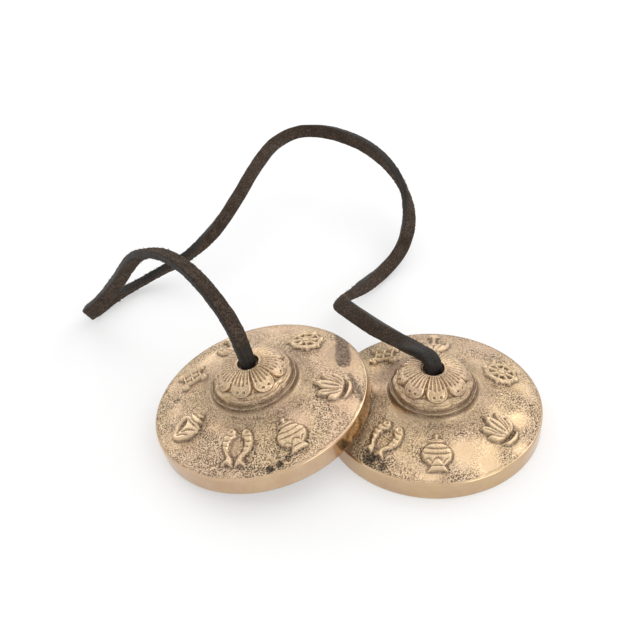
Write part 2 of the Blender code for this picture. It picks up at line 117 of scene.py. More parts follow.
# How the lace turns: at some keys, the way one of its cut edges faces and how full it is.
TURNS = (
    (0, (-0.74, -0.65, -0.08), 0.90), (2, (-0.74, -0.62, 0.12), 0.87), (4.5, (-0.76, -0.62, 0.16), 0.86),
    (5.6, (-0.76, -0.60, 0.22), 0.90), (6.8, (-0.82, -0.45, 0.36), 0.96), (8.5, (-0.89, -0.36, 0.28), 0.92),
    (11.5, (-0.76, -0.18, 0.63), 1.0), (13, (-0.60, -0.05, 0.80), 1.0), (14.6, (0.10, -0.50, 0.80), 0.96),
    (16, (0.05, -0.72, 0.68), 0.90), (18.6, (-0.25, -0.62, 0.74), 0.92), (20.4, (-0.83, 0.25, 0.50), 0.92),
    (22.5, (-0.83, 0.35, 0.43), 0.94), (24.5, (-0.10, 0.41, 0.91), 0.94), (27, (0.11, -0.06, 0.99), 1.0),
    (28.5, (-0.20, -0.42, 0.88), 0.98), (29.5, (-0.69, -0.43, 0.58), 0.96),
    (30.5, (-0.97, -0.20, 0.10), 0.96), (31.5, (-0.72, 0.43, 0.53), 0.96), (33, (-0.20, 0.20, 0.90), 0.94),
    (34, (0.45, -0.25, 0.80), 0.94), (35, (0.70, -0.10, 0.70), 1.04), (36, (0.72, 0.30, 0.62), 1.12),
    (37, (0.62, 0.45, 0.62), 1.10), (38, (0.27, 0.38, 0.88), 1.02), (39, (0.40, 0.45, 0.65), 0.92),
    (40, (0.80, 0.38, -0.15), 0.88), (41, (0.92, 0.33, -0.10), 0.95),
)
FOLD_KEY = 35.2               # where the lace was folded flat and its cut edge crumpled

# The stopper knots: a plain overhand knot in the lace inside each cup, by heights in the cymbal.
PIVOT_HEIGHT = 23.0 * MM
SHANK_TOP = 20.2 * MM
CUP_CEILING = 17.0 * MM
KNOT_STRAND_RADIUS = 1.45 * MM
KNOT_SPREAD = 2.465 * MM
KNOT_RISE = 3.1 * MM
KNOT_MIDDLE = 9.15 * MM
KNOT_START = 4.5              # keys past the free length where its cut edges begin to follow the knot
KNOT_SQUEEZE = (0.40, 0.20)   # how much narrower and thinner the lace is pulled in the knot
KNOT_KEYS = (3.4, 5.0)        # keys past the free length over which it goes into the knot
STAND_OFF = 2.4 * MM          # between a boss's pivot and the end of the free length
RIGHT_LIP = Vector((-0.4, 0.3, -0.9)) * MM    # from the right pivot: the lace lies low over the hole


def smooth_line(points, steps):
    """Points on a smooth curve through the given ones, with some steps between each two."""
    line = []
    ends = [points[0] * 2 - points[1]] + points + [points[-1] * 2 - points[-2]]
    for before, start, finish, after in zip(ends, ends[1:], ends[2:], ends[3:]):
        first = sqrt((start - before).length)
        second = sqrt((finish - start).length)
        third = sqrt((after - finish).length)
        leave = (start - before) / first - (finish - before) / (first + second) + (finish - start) / second
        arrive = (finish - start) / second - (after - start) / (second + third) + (after - finish) / third
        for step in range(steps):
            t = step / steps
            line.append(
                start * (2 * t ** 3 - 3 * t ** 2 + 1)
                + leave * second * (t ** 3 - 2 * t ** 2 + t)
                + finish * (3 * t ** 2 - 2 * t ** 3)
                + arrive * second * (t ** 3 - t ** 2)
            )
    return line + [points[-1]]


def knot_points():
    """The knot from the hole's lower end to the lace's tail, in its cymbal's own axes."""
    top = CUP_CEILING - 0.3 * MM - KNOT_STRAND_RADIUS
    points = []
    for across, back, height in (
        (0.30, -0.05, top + 0.45 * KNOT_STRAND_RADIUS),
        (1.10, -0.20, top),
        (2.20, 0.10, top - 0.5 * KNOT_STRAND_RADIUS),
        (2.95, 1.00, KNOT_MIDDLE + 1.4 * KNOT_RISE),
        (2.70, 1.85, KNOT_MIDDLE + 1.0 * KNOT_RISE),
    ):
        points.append(Vector((across * KNOT_SPREAD, back * KNOT_SPREAD, height)))
    for turn in range(80, 391, 20):
        angle = radians(turn)
        across = sin(angle) + 2 * sin(2 * angle)
        back = cos(angle) - 2 * cos(2 * angle)
        height = KNOT_MIDDLE - KNOT_RISE * sin(3 * angle)
        points.append(Vector((KNOT_SPREAD * across, KNOT_SPREAD * back, height)))
    points.append(Vector((3.0 * KNOT_SPREAD, 0.8 * KNOT_SPREAD, KNOT_MIDDLE - KNOT_RISE)))
    return points


joints = {joint["name"]: joint for joint in frame["joints"]}
pivots = {}
placings = {}
for side in ("left", "right"):
    spin = joints[side + "_spin"]
    boss_axis = Vector(spin["axis"]).normalized()
    pivots[side] = Vector(spin["pos_m"])
    tilt = Vector((0, 0, 1)).rotation_difference(boss_axis).to_matrix().to_4x4()
    placings[side] = Matrix.Translation(pivots[side] - boss_axis * PIVOT_HEIGHT) @ tilt

route = [Vector(spot) * MM for spot in ROUTE]
left_start = pivots["left"] + (route[0] - pivots["left"]).normalized() * STAND_OFF
right_start = pivots["right"] + (route[-1] - pivots["right"]).normalized() * STAND_OFF
free_points = [left_start] + route + [right_start]


def end_points(side):
    """The lace's end at one boss, from just over the pivot down the hole and round the knot."""
    placing = placings[side]
    down_the_hole = [Vector((0, 0, SHANK_TOP)), Vector((0, 0, CUP_CEILING + 0.4 * MM))]
    return [placing @ point for point in down_the_hole + knot_points()]


left_end = end_points("left")
right_end = end_points("right")
left_part = left_end[::-1] + [pivots["left"]]
right_part = [pivots["right"] + RIGHT_LIP] + right_end
line = np.array(smooth_line(left_part + free_points + right_part, LINE_STEPS))
keys = np.arange(len(line)) / LINE_STEPS - (len(left_end) + 2)
run = np.concatenate([[0], np.cumsum(np.linalg.norm(np.diff(line, axis=0), axis=1))])
count = int(run[-1] / RING_SPACING)
spots = np.linspace(0, run[-1], count)
centres = np.stack([np.interp(spots, run, line[:, axis]) for axis in range(3)], 1)
ring_keys = np.interp(spots, run, keys)
along = np.gradient(centres, axis=0)
along /= np.linalg.norm(along, axis=1)[:, None]

turn_keys, ways, fulls = zip(*TURNS)
edge_way = np.stack([np.interp(ring_keys, turn_keys, [way[axis] for way in ways]) for axis in range(3)], 1)
fullness = np.interp(ring_keys, turn_keys, fulls)
in_knot = np.zeros(count)
FREE_KEYS = len(ROUTE) - 1
for side, past in (("left", -ring_keys), ("right", ring_keys - FREE_KEYS)):
    inside = past > KNOT_START
    outward = centres - np.array(placings[side] @ Vector((0, 0, KNOT_MIDDLE)))
    edge_way[inside] = np.cross(along, outward)[inside]
    in_knot = np.maximum(in_knot, np.interp(past, KNOT_KEYS, (0, 1)))


def smoothed(rows, reach):
    """Each row averaged with its neighbours, to some rings away."""
    for _ in range(3):
        padded = np.concatenate([rows[:1].repeat(reach, 0), rows, rows[-1:].repeat(reach, 0)])
        total = np.cumsum(padded, axis=0)
        total = np.concatenate([np.zeros_like(total[:1]), total])
        rows = (total[2 * reach + 1:] - total[:-2 * reach - 1]) / (2 * reach + 1)
    return rows


def across_the_lace(ways):
    """Unit vectors near the given ones, at right angles to the lace, never flipping over."""
    ways = ways - (ways * along).sum(1)[:, None] * along
    ways /= np.linalg.norm(ways, axis=1)[:, None]
    for ring in range(1, len(ways)):
        if ways[ring] @ ways[ring - 1] < 0:
            ways[ring] = -ways[ring]
    return ways


edge_way = across_the_lace(smoothed(across_the_lace(edge_way), 5))
face_way = np.cross(along, edge_way)


def section():
    """Points evenly spaced round a rounded oblong, width by thickness: (across, through)."""
    corners = []
    for step in range(721):
        angle = tau * step / 720
        across = THONG_WIDTH / 2 * np.sign(cos(angle)) * abs(cos(angle)) ** SQUARENESS
        through = THONG_THICKNESS / 2 * np.sign(sin(angle)) * abs(sin(angle)) ** SQUARENESS
        corners.append((across, through))
    corners = np.array(corners)
    lengths = np.concatenate([[0], np.cumsum(np.linalg.norm(np.diff(corners, axis=0), axis=1))])
    wanted = lengths[-1] * (np.arange(RING_POINTS) + 0.5) / RING_POINTS
    return np.stack([np.interp(wanted, lengths, corners[:, axis]) for axis in range(2)], 1)


def by_the_holes(reach, fade):
    """1 inside the bosses and 0 away from them. At the right one it reaches some keys out of the hole
    before it fades."""
    at_left = np.clip(1 - (ring_keys + 1.0) / 0.5, 0, 1)
    at_right = np.clip(1 - (FREE_KEYS - reach - ring_keys) / fade, 0, 1)
    return np.clip(at_left + at_right, 0, 1)


outline = section()
on_edge = np.interp(np.abs(outline[:, 0]) / (THONG_WIDTH / 2), CUT_EDGE, (0, 1))
scale = fullness * (1 - SHANK_SQUEEZE * np.clip(-ring_keys / 1.5, 0, 1))
scale *= 1 - SHANK_SQUEEZE * np.clip((ring_keys - FREE_KEYS) / 1.5, 0, 1)
widths = scale * (1 - KNOT_SQUEEZE[0] * in_knot)
thicknesses = scale * (1 - KNOT_SQUEEZE[1] * in_knot)

rings = (
    centres[:, None]
    + edge_way[:, None] * (outline[None, :, 0] * widths[:, None])[:, :, None]
    + face_way[:, None] * (outline[None, :, 1] * thicknesses[:, None])[:, :, None]
)
pressed = by_the_holes(0.9, 1.4)        # where the hole's edge presses the nap flat
blackened = by_the_holes(0.1, 1.2)      # where rubbing on the bronze made it smooth and black
outward = rings - centres[:, None]
outward /= np.linalg.norm(outward, axis=2)[:, :, None]
shift = np.zeros(rings.shape[:2])
for ring in range(count):
    for step in range(RING_POINTS):
        place = Vector(rings[ring, step])
        fine = noise.noise(place * NAP_CLUMPS[0]) + 0.5 * noise.noise(place * NAP_CLUMPS[1])
        nap_here = NAP_DEPTH * (1 - 0.9 * on_edge[step])
        shift[ring, step] = DENT_DEPTH * noise.noise(place * DENTS) + nap_here * fine
shift *= (1 - np.maximum(KNOT_FLATTENS * in_knot, HOLE_FLATTENS * pressed))[:, None]
rings = rings + outward * shift[:, :, None]


def add_object(name, data):
    """Links a new object."""
    made = bpy.data.objects.new(name, data)
    bpy.context.collection.objects.link(made)
    return made


def float_attribute(mesh, name, values):
    """Stores one number for each point of a mesh, for its material to read."""
    layer = mesh.attributes.new(name, "FLOAT", "POINT")
    layer.data.foreach_set("value", np.asarray(values, np.float32).ravel())


def lace_piece(name, first, last):
    """The stretch of the lace from one ring to another, as a closed skin. It tells its material how
    much each point is cut edge, how rubbed it is, and where it lies along and around the lace."""
    chosen = rings[first:last + 1]
    amount = len(chosen)
    points = chosen.reshape(-1, 3).tolist()
    faces = []
    for ring in range(amount - 1):
        for step in range(RING_POINTS):
            after = (step + 1) % RING_POINTS
            low = ring * RING_POINTS
            high = low + RING_POINTS
            faces.append((low + step, low + after, high + after, high + step))
    for ring, order in ((0, -1), (amount - 1, 1)):
        points.append(chosen[ring].mean(0).tolist())
        for step in range(RING_POINTS):
            after = (step + 1) % RING_POINTS
            pair = (ring * RING_POINTS + step, ring * RING_POINTS + after)
            faces.append((pair[0], pair[1], len(points) - 1)[::order])
    mesh = bpy.data.meshes.new(name)
    mesh.from_pydata(points, [], faces)
    tube = amount * RING_POINTS
    edges = np.zeros(tube + 2)
    crumpled = np.clip(1.6 - np.abs(ring_keys[first:last + 1] - FOLD_KEY) / 1.2, 0, 1)
    edges[:tube] = np.tile(on_edge, amount) * np.repeat(1 - crumpled, RING_POINTS)
    float_attribute(mesh, "cut_edge", edges)
    rubbed = np.ones(tube + 2)
    rubbed[:tube] = np.repeat(blackened[first:last + 1], RING_POINTS)
    float_attribute(mesh, "rubbed", rubbed)
    lay = mesh.attributes.new("lay", "FLOAT_VECTOR", "POINT")
    places = np.zeros((tube + 2, 3), np.float32)
    around = np.arange(RING_POINTS) / RING_POINTS * 2 * (THONG_WIDTH + THONG_THICKNESS)
    places[:tube, 0] = np.repeat(spots[first:last + 1], RING_POINTS)
    places[:tube, 1] = np.tile(around, amount)
    lay.data.foreach_set("vector", places.ravel())
    smooth_sides = np.ones(len(faces), bool)
    smooth_sides[-2 * RING_POINTS:] = False      # the two ends are flat cuts
    mesh.polygons.foreach_set("use_smooth", smooth_sides)
    return add_object(name, mesh)


def linear(code):
    """A colour written as sRGB hex, as the linear RGBA that Blender's nodes take."""
    channels = [int(code[place:place + 2], 16) / 255 for place in (0, 2, 4)]
    return tuple(c / 12.92 if c <= 0.04045 else ((c + 0.055) / 1.055) ** 2.4 for c in channels) + (1,)


def add_node(tree, kind, inputs, take=None, **settings):
    """Adds a node; each input is a value or the socket that feeds it. Gives its named or first output."""
    node = tree.nodes.new("ShaderNode" + kind)
    for name, value in settings.items():
        setattr(node, name, value)
    for socket, value in inputs.items():
        if isinstance(value, bpy.types.NodeSocket):
            tree.links.new(value, node.inputs[socket])
        else:
            node.inputs[socket].default_value = value
    return node.outputs[take] if take else next(output for output in node.outputs if output.enabled)


def per(millimetres):
    """The scale of a texture whose grains are this far apart, for coordinates in metres."""
    return 1 / (millimetres * MM)


def new_material(name):
    """A material with one Principled shader: the material, its nodes and the shader's inputs."""
    material = bpy.data.materials.new(name)
    material.use_nodes = True
    return material, material.node_tree, material.node_tree.nodes["Principled BSDF"].inputs


def dyed_split_leather():
    """Dyed split leather. Its brown suede faces have a short nap that scatters the light, so they look
    dull and soft, and its cut edges are dense and burnished, near black with a low shine."""
    material, tree, shader = new_material("dyed_split_leather")
    place = add_node(tree, "TexCoord", {}, "Object")
    lay = add_node(tree, "Attribute", {}, "Vector", attribute_name="lay")
    cut_edge = add_node(tree, "Attribute", {}, "Fac", attribute_name="cut_edge")
    rubbed = add_node(tree, "Attribute", {}, "Fac", attribute_name="rubbed")

    # Suede fibres are about 0.05 mm thick, too fine for the picture: their tangle is drawn ten times
    # as coarse. The dye is cloudy over about 4 mm.
    nap = add_node(tree, "TexNoise", {"Vector": place, "Scale": per(0.55), "Detail": 3, "Roughness": 0.75})
    clumps = add_node(tree, "TexNoise", {"Vector": place, "Scale": per(4.0), "Detail": 3})
    # The lines that the knife left run along the cut edges, a little under 1 mm apart.
    drawn_out = add_node(tree, "Mapping", {"Vector": lay, "Scale": (0.05, 1, 1)})
    lines = add_node(tree, "TexNoise", {"Vector": drawn_out, "Scale": per(0.9), "Detail": 3})
    mottle = add_node(tree, "Mix", {"Factor": 0.55, "A": lines, "B": nap})
    suede = add_node(tree, "ValToRGB", {"Fac": nap})
    hard = add_node(tree, "ValToRGB", {"Fac": mottle})
    stops = {suede: ((0.38, "1f1916"), (0.66, "6a584a")), hard: ((0.42, "131211"), (0.68, "3a342f"))}
    for ramp, pair in stops.items():
        for element, (position, code) in zip(ramp.node.color_ramp.elements, pair):
            element.position = position
            element.color = linear(code)

    # How smooth each place is: 1 on a cut edge, 0.9 where rubbed, 0 on suede, with a ragged border.
    worn_down = add_node(tree, "Math", {0: rubbed, 1: 0.9}, operation="MULTIPLY")
    edge = add_node(tree, "Math", {0: cut_edge, 1: worn_down}, operation="MAXIMUM")
    ragged = add_node(tree, "Math", {0: nap, 1: 0.5}, operation="SUBTRACT")
    smooth = add_node(tree, "Math", {0: edge, 1: ragged}, operation="ADD", use_clamp=True)

    tone = add_node(tree, "MapRange", {"Value": clumps, "From Min": 0.35, "From Max": 0.65, "To Max": 0.7})
    warm = add_node(tree, "Mix", {"Factor": tone, "A": suede, "B": linear("33291f")}, data_type="RGBA")
    colour = add_node(tree, "Mix", {"Factor": smooth, "A": warm, "B": hard}, data_type="RGBA")
    gloss = add_node(tree, "MapRange", {"Value": smooth, "To Min": 0.95, "To Max": 0.55})
    flattened = add_node(tree, "Math", {0: smooth, 1: 0.55}, operation="MULTIPLY")
    height = add_node(tree, "Mix", {"Factor": flattened, "A": nap, "B": 0.5})
    bump = add_node(tree, "Bump", {"Height": height, "Distance": 0.5 * MM, "Strength": 0.9})
    for socket, source in (("Base Color", colour), ("Roughness", gloss), ("Normal", bump)):
        tree.links.new(source, shader[socket])
    # Fibres shine less than a solid does, and give a faint pale sheen where the light grazes them.
    shader["Specular IOR Level"].default_value = 0.25
    shader["Sheen Weight"].default_value = 0.12
    shader["Sheen Roughness"].default_value = 0.5
    shader["Sheen Tint"].default_value = linear("a08c78")
    return material


leather = dyed_split_leather()
left_cut = int(np.argmin(np.linalg.norm(centres - np.array(left_start), axis=1)))
right_cut = int(np.argmin(np.linalg.norm(centres - np.array(right_start), axis=1)))
thong = lace_piece("thong", left_cut, right_cut)
thong.data.materials.append(leather)
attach(thong, "strap")
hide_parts("strap")

for side, first, last, bend_start in (
    ("left", 0, left_cut, left_start), ("right", right_cut, count - 1, right_start),
):
    piece = lace_piece("thong_end_" + side, first, last)
    piece.data.materials.append(leather)
    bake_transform(piece)
    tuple(bend_start)
    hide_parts("knot_" + side)


def loose_fibres(first, last, amount):
    """Short tufts of nap, each a bent spike, standing off the suede faces and their arrises."""
    picks = np.random.default_rng(7)
    points = []
    faces = []
    while len(points) < 7 * amount:
        ring = int(picks.integers(first + 1, last - 1))
        step = int(picks.integers(RING_POINTS))
        turn, lift, length, width = picks.random(4)
        if on_edge[step] > 0.5:
            continue
        root = rings[ring, step] - TUFT_ROOT * MM * outward[ring, step]
        lean = along[ring] * cos(tau * turn) + np.cross(along[ring], outward[ring, step]) * sin(tau * turn)
        rise = outward[ring, step] * (0.35 + 0.65 * lift) + 0.75 * lean
        rise /= np.linalg.norm(rise)
        reach = np.interp(length ** 3, (0, 1), TUFT_LENGTH) * MM
        thick = np.interp(width, (0, 1), TUFT_THICKNESS) * MM
        side = np.cross(rise, along[ring])
        side /= np.linalg.norm(side) + 1e-9
        other = np.cross(rise, side)
        base = len(points)
        for share, girth in ((0.0, 1.0), (0.6, 0.7)):
            middle = root + rise * reach * share
            for corner in range(3):
                angle = tau * corner / 3
                points.append((middle + thick * girth * (side * cos(angle) + other * sin(angle))).tolist())
        bent_over = 0.18 * reach * lean
        points.append((root + rise * reach + bent_over).tolist())
        faces.append((base + 2, base + 1, base))
        for corner in range(3):
            after = (corner + 1) % 3
            faces.append((base + corner, base + after, base + 3 + after, base + 3 + corner))
            faces.append((base + 3 + corner, base + 3 + after, base + 6))
    mesh = bpy.data.meshes.new("thong_nap")
    mesh.from_pydata(points, [], faces)
    for attribute in ("cut_edge", "rubbed"):
        float_attribute(mesh, attribute, np.zeros(len(points)))
    return add_object("thong_nap", mesh)


nap = loose_fibres(left_cut, right_cut - BARE_RINGS, TUFTS)
nap.data.materials.append(leather)
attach(nap, "strap")

# Each cymbal is one sand casting of bell bronze, turned smooth on its rim, with a lotus on the
# boss and the same seven good-luck emblems on the brim. The two were cast from one pattern, so
# they differ only in the sand's marks, and they lie turned differently about their bosses.

# Sizes are in millimetres, in the casting's own axes: its boss points up along z.
RIM_RADIUS = 32.5
RIM_HEIGHT = 6.0
REST_RADIUS = 32.15           # of the flat ring that a cymbal lies on
FOOT_RADIUS = 15.6            # of the boss
BRIM_RISE = 4.5               # from the rim to the boss
DOME_BASE = 15.4
DOME_RISE = 4.6
DOME_ARC = radians(84)
PETAL_RADIUS = 10.5           # out to the tips of the petals
MOUTH_RADIUS = 3.5            # of the hole, where its edge starts to turn down
BORE_RADIUS = 3.1
PETALS = 8
SEGMENTS = PETALS * 66        # points round the casting
SCALLOP_DEPTH = 0.75          # how far the boss is drawn in between two petals
EMBLEM_TURNS = (20, 82, 123.5, 178, 226.5, 266, 318)    # degrees round the boss
EMBLEM_RADIUS = 23.0          # from the boss axis to an emblem's middle
EMBLEM_REACH = 6.6            # past an emblem's farthest point
EMBLEM_RELIEF = 1.3
EMBLEM_CROWN = 0.1            # the middles of the broad forms stand a little higher
LINE_DEPTH = 0.45             # of the lines carved in the emblems
CASTING_TURNS = {"left": radians(29), "right": 0.0}     # as the two lie, turned about their bosses

# Where the sand left each casting rough and black, and where handling wore it smooth:
# degrees round the boss, radius and reach in millimetres, and strength.
BLACK_PATCHES = {
    "left": ((133, 31.3, 1.4, 0.8), (144, 25.5, 1.5, 0.9), (150, 29.0, 3.0, 0.4), (168, 24.8, 1.6, 0.95),
             (190, 28.0, 4.0, 0.3), (214, 29.0, 5.0, 0.55), (228, 25.0, 3.5, 0.4), (238, 29.5, 5.0, 0.6),
             (247, 30.5, 2.4, 1.0), (252.5, 30.0, 2.6, 1.0), (257.5, 29.3, 2.2, 0.95),
             (275, 25.0, 2.2, 0.5)),
    "right": ((227, 29.8, 4.4, 0.95), (236, 30.3, 3.2, 0.92), (219, 24.5, 2.6, 0.55), (212, 19.5, 2.2, 0.5),
              (196, 15.2, 1.6, 0.6), (345, 29.5, 3.0, 0.35), (40, 29.0, 4.0, 0.35)),
}
WORN_PATCHES = {
    "left": ((352, 28.5, 6.5, 1.0), (25, 30.0, 5.0, 0.7), (305, 29.5, 5.0, 0.6), (155, 27.0, 5.0, 0.45)),
    "right": ((292, 25.0, 7.5, 1.0), (335, 27.0, 4.5, 0.5), (262, 30.0, 4.0, 0.4)),
}
# Dark streaks, as lines in the casting's own axes, half their width and strength. On the left casting they
# are painted shade where the thong darkens the brim, from the rim in across an emblem; on the right, a dark
# streak crosses the front of the boss's foot.
STREAKS_AND_PAINTED_SHADE = {
    "left": (([(32.8, 6.0), (31.6, 3.6), (29.7, 0.0), (27.6, -3.8), (25.4, -7.6)], 2.1, 1.0),
             ([(24.2, -13.2), (23.6, -16.5), (23.0, -19.5), (21.6, -23.2)], 0.75, 0.8)),
    "right": (([(-2.0, -14.6), (2.6, -14.8)], 1.2, 0.6),),
}

# The cast skin's unevenness: how many of each kind in a millimetre, and their heights.
SWELLS = 0.16                 # 6 mm apart
SWELL_HEIGHT = 0.09
RIM_SWELL_HEIGHT = 0.03       # all that the lathe left
LUMPS = 0.7                   # 1.4 mm apart
LUMP_HEIGHT = 0.04
SAND_MARKS = (1.6, 2.6)       # 0.6 and 0.4 mm apart, coarser than moulding sand, so that they show
SAND_HEIGHT = 0.075
BLACK_DEPTH = 0.1             # the casting is eaten away this far in the black patches
RIM_LINE = (31.65, 0.14, 0.07)    # a line turned inside the rim: radius, half its width, depth

# Shares by zone, from the rim over the top to the hole, and inside.
SAND_LEFT = {"rim": 0.04, "brim": 1.0, "neck": 0.8, "bead": 0.7, "dome": 0.6, "mouth": 0.3, "inside": 0.4}
# Even darkening by zone: patina on the neck and bead, and painted shade down the mouth and inside the bore
# and cup.
ZONE_PATINA_AND_SHADE = {"neck": 0.48, "bead": 0.43, "dome": 0.02, "mouth": 0.3, "inside": 0.35}
SHARPNESS = {"dome": 1.6, "bead": 0.5}    # how much harder fine relief is darkened and brightened


def drawn(points):
    """A closed outline, smooth but for the corners, which are the points given twice over."""
    line = []
    part = []
    for point in points + [points[0]] * 2:
        if part and point == part[-1]:
            spots = [Vector((x, y, 0)) for x, y in part]
            if len(spots) > 2:
                spots = smooth_line(spots, 4)
            line += [(spot.x, spot.y) for spot in spots[:-1]]
            part = []
        part.append(point)
    return line


def mirrored(half):
    """A whole outline from its right half, drawn from the top down."""
    return half + [(-x, y) for x, y in reversed(half) if x > 0]


def both_sides(lines):
    """Lines and their mirror images."""
    return lines + [[(-x, y) for x, y in line] for line in lines]


def bend(start, pull, finish, steps=8):
    """A curved line from start to finish, drawn towards pull."""
    points = []
    for step in range(steps + 1):
        t = step / steps
        points.append(tuple(
            a * (1 - t) ** 2 + 2 * b * t * (1 - t) + c * t ** 2 for a, b, c in zip(start, pull, finish)
        ))
    return points


def hoop(x, y, radius, steps=24):
    """A round line."""
    turns = [tau * step / steps for step in range(steps + 1)]
    return [(x + radius * cos(turn), y + radius * sin(turn)) for turn in turns]


# Each emblem gives its edges, with its windows among them, and the lines carved in it. It is
# drawn with its top towards the boss.

def wheel():
    rim = []
    for step in range(64):
        angle = tau * step / 64
        knob = max(0.0, cos(8 * angle)) ** 2
        rim.append(((4.75 + 0.75 * knob) * cos(angle), (4.75 + 0.75 * knob) * sin(angle)))
    edges = [rim]
    for window in range(8):
        middle = tau * (window + 0.5) / 8
        corners = []
        for reach, side in ((1.9, -1), (3.5, -1), (3.6, 0), (3.5, 1), (1.9, 1)):
            angle = middle + side * (pi / 8 - 0.42 / reach)
            corners.append((reach * cos(angle), reach * sin(angle)))
        edges.append(corners)
    return edges, [hoop(0, 0, 4.25, 40), hoop(0, 0, 1.15)]


def parasol():
    half = [
        (0, 5.6), (0.7, 5.0), (0.5, 4.4), (0.5, 4.4), (2.3, 3.8), (3.9, 2.4), (4.8, 0.4), (4.8, 0.4),
        (4.8, -2.2), (4.8, -2.2), (3.8, -2.2), (3.8, -2.2), (3.8, 0.3), (3.8, 0.3), (2.7, 0.8), (1.7, 0.2),
        (1.7, 0.2), (1.2, 0.6), (0.6, 0.4), (0.6, 0.4), (0.6, -4.2), (0.6, -4.2), (1.9, -5.6), (1.9, -5.6),
    ]
    ribs = both_sides([bend((0.3, 4.1), (1.9, 3.2), (2.3, 1.2)), bend((0.7, 4.0), (3.2, 3.2), (3.9, 1.3))])
    ribs += [bend((-4.4, 0.9), (0, 2.0), (4.4, 0.9)), bend((0, 4.2), (0, 3), (0, 1.6))]
    return [drawn(mirrored(half))], ribs


def endless_knot():
    edge = []
    windows = []
    lines = []
    for quarter in range(4):
        ways = (cos(pi / 2 * quarter), sin(pi / 2 * quarter))
        for out, aside in ((3.4, -0.8), (4.4, -1.3), (5.5, 0), (4.4, 1.3), (3.4, 0.8), (3.4, 0.8)):
            edge.append((out * ways[0] - aside * ways[1], out * ways[1] + aside * ways[0]))
        corners = []
        for corner in range(4):
            angle = pi / 2 * (quarter + corner)
            corners.append((1.77 * ways[0] + 1.02 * cos(angle), 1.77 * ways[1] + 1.02 * sin(angle)))
        windows.append(corners)
        lines.append(hoop(4.35 * ways[0], 4.35 * ways[1], 0.25, 8))
    band = 0.5
    for row in (-1, 0, 1):
        for column in (-1, 0, 1):
            over = (row + column) % 2 == 0
            for side in (-band, band):
                line = []
                for end in (-band, band):
                    across, up = (side, end) if over else (end, side)
                    u = 2.47 * column + across
                    v = 2.47 * row + up
                    line.append(((u - v) / sqrt(2), (u + v) / sqrt(2)))
                lines.append(line)
    return [drawn([edge[-1]] + edge)] + windows, lines


def conch():
    shell = [
        (0.2, 5.6), (1.2, 5.0), (1.0, 4.4), (1.0, 4.4), (2.4, 3.8), (2.3, 3.0), (2.3, 3.0), (3.7, 2.2),
        (4.1, 0.2), (3.5, -2.2), (1.8, -4.4), (-0.2, -5.6), (-0.2, -5.6), (-0.8, -4.6), (-2.6, -3.2),
        (-4.1, -1.0), (-4.1, 1.2), (-2.6, 2.4), (-2.6, 2.4), (-2.7, 3.2), (-1.2, 3.8), (-1.2, 3.8),
        (-1.3, 4.6), (-0.3, 5.0),
    ]
    opening = [
        (-2.6, 0.9), (-1.3, 0.4), (-0.6, -1.4), (-0.4, -3.6), (-0.4, -3.6), (-2.0, -2.2), (-2.9, -0.6),
    ]
    whorls = [bend((-2.4, 2.6), (0.2, 1.6), (2.5, 3.1)), bend((-1.1, 4.0), (0.1, 3.6), (1.2, 4.3))]
    sides = [bend((3.7, 1.0), (1.6, 0.2), (0.5, -2.2)), bend((3.2, -1.5), (1.6, -1.8), (0.5, -3.8))]
    return [drawn(shell), drawn(opening)], whorls + sides + [bend((-1.6, 1.3), (0.6, 1.4), (3.6, 2.0))]


def pair_of_fish():
    fish = [
        (0.8, 4.2), (1.3, 5.3), (2.4, 5.5), (3.6, 4.3), (4.4, 2.2), (4.2, -0.2), (2.9, -2.4), (2.2, -3.3),
        (2.2, -3.3), (3.1, -4.3), (3.9, -5.5), (3.9, -5.5), (1.9, -4.9), (1.9, -4.9), (0.4, -5.6),
        (0.4, -5.6), (0.9, -3.3), (1.9, -1.6), (2.2, 0.4), (1.8, 2.2), (0.8, 3.2), (0.8, 3.2),
    ]
    lines = [
        hoop(2.3, 4.4, 0.3, 8),
        bend((1.2, 3.3), (2.6, 2.9), (3.6, 3.7)), bend((2.1, 2.0), (3.2, 1.3), (4.2, 1.9)),
        bend((2.3, 0.5), (3.2, -0.2), (4.1, 0.4)), bend((1.9, -1.1), (2.9, -1.7), (3.6, -0.9)),
        [(2.3, -3.9), (3.2, -4.9)], [(1.3, -3.8), (1.0, -4.9)],
    ]
    one = drawn(fish)
    return [one, [(-x, y) for x, y in one]], both_sides(lines)


def treasure_vase():
    half = [
        (0, 5.6), (0.9, 4.9), (0.5, 4.1), (0.5, 4.1), (2.4, 3.8), (2.4, 3.8), (2.3, 3.1), (2.3, 3.1),
        (1.3, 2.7), (1.3, 2.7), (3.3, 1.6), (4.3, -0.4), (3.7, -2.5), (2.0, -3.9), (2.0, -3.9), (2.3, -4.7),
        (2.9, -5.6), (2.9, -5.6),
    ]
    swags = [bend((1.5, -3.7), (2.4, -1.4), (3.6, -2.5)), bend((0, -1.9), (1.2, -2.2), (1.5, -3.7))]
    bands = [
        [(-1.2, 2.6), (1.2, 2.6)], [(-2.0, -4.2), (2.0, -4.2)], [(-2.1, 3.5), (2.1, 3.5)],
        bend((-3.3, 1.3), (0, 0.3), (3.3, 1.3)), bend((-4.1, -0.2), (0, -1.4), (4.1, -0.2)),
    ]
    return [drawn(mirrored(half))], both_sides(swags) + bands


